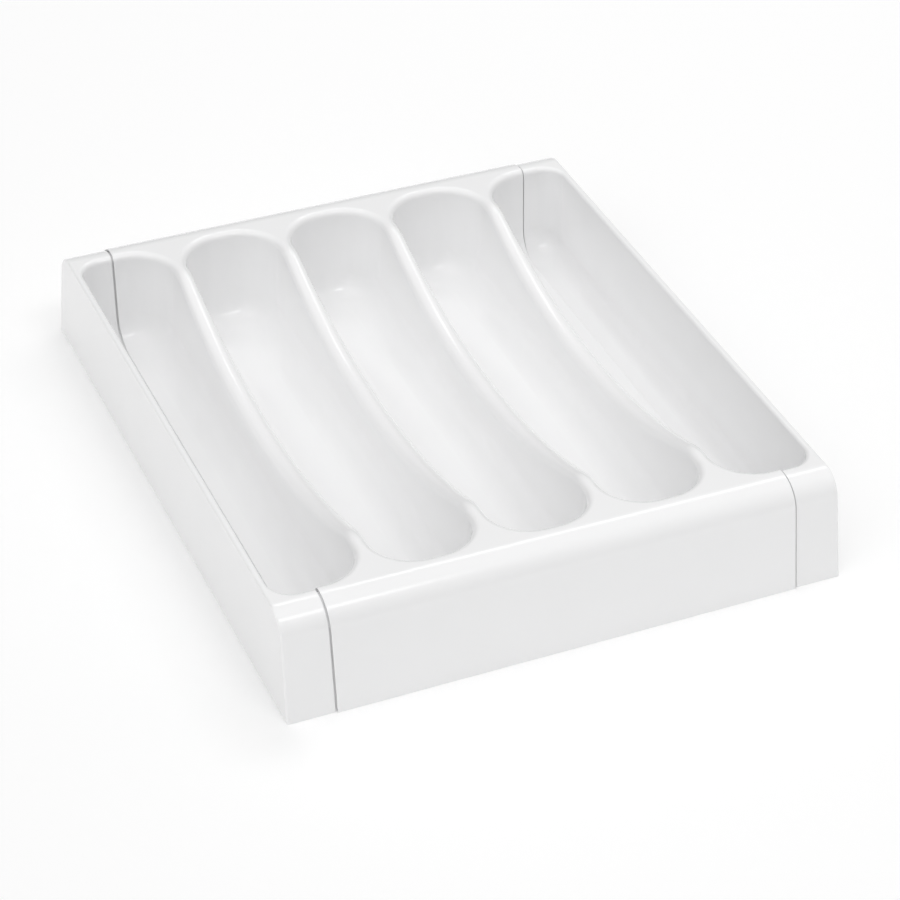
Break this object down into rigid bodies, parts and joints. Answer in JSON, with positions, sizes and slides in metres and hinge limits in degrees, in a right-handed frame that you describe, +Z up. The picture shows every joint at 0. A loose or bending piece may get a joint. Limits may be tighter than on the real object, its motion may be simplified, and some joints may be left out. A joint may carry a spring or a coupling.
{
  "type": "expandable drawer organizer tray",
  "caption": "White moulded drawer tray with long rounded compartments between dipped dividers; a wing slides out sideways from under each end to widen the outer compartments.",
  "frame": {"origin": "middle of the footprint, on the surface that the tray stands on, with both wings in", "axes": "+X to the right along the width that the wings extend, +Y from the front to the back along the compartments, +Z up"},
  "size_m": [0.32, 0.391, 0.0612],
  "materials": {
    "white_plastic": "smooth glossy white injection-moulded plastic"
  },
  "bodies": {
    "centre": {"centre_tray": "white_plastic"},
    "left": {"left_wing": "white_plastic"},
    "right": {"right_wing": "white_plastic"}
  },
  "joints": [
    {"name": "left_wing_slide", "type": "slide", "parent": "centre", "child": "left", "axis": [-1, 0, 0], "range_m": [0, 0.1]},
    {"name": "right_wing_slide", "type": "slide", "parent": "centre", "child": "right", "axis": [1, 0, 0], "range_m": [0, 0.1]}
  ]
}
